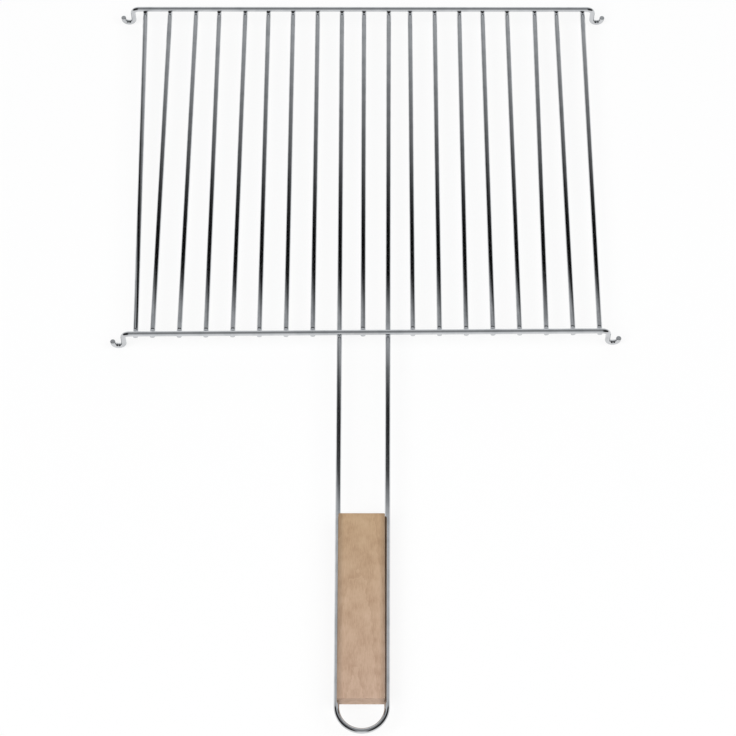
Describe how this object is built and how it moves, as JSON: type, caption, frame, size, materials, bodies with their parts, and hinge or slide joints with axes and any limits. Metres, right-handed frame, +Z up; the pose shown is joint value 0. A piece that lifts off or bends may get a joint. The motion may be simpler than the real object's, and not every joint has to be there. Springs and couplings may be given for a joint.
{
  "type": "grill grate",
  "caption": "Wire grill grate of parallel chromed rods under cross wires with hooked feet, carried by a long U-bent handle wire with a flat wooden grip and a hanging loop.",
  "frame": {"origin": "on the ground, below the middle of the whole grate, grip and feet", "axes": "+Y from the grip to the rear cross wire, +X to the right, +Z up from the feet to the cooking side"},
  "size_m": [0.3998, 0.6333, 0.0214],
  "materials": {
    "chrome_wire": "bright plated wire",
    "grip_wood": "sanded bare wood"
  },
  "bodies": {
    "root": {"rod_left_1": "chrome_wire", "rod_left_2": "chrome_wire", "rod_left_3": "chrome_wire", "rod_left_4": "chrome_wire", "rod_left_5": "chrome_wire", "rod_left_6": "chrome_wire", "rod_left_7": "chrome_wire", "rod_left_8": "chrome_wire", "rod_right_1": "chrome_wire", "rod_right_2": "chrome_wire", "rod_right_3": "chrome_wire", "rod_right_4": "chrome_wire", "rod_right_5": "chrome_wire", "rod_right_6": "chrome_wire", "rod_right_7": "chrome_wire", "rod_right_8": "chrome_wire", "rod_middle": "chrome_wire", "handle_wire": "chrome_wire", "rear_cross_wire": "chrome_wire", "front_cross_wire": "chrome_wire", "wood_grip": "grip_wood"}
  },
  "joints": []
}
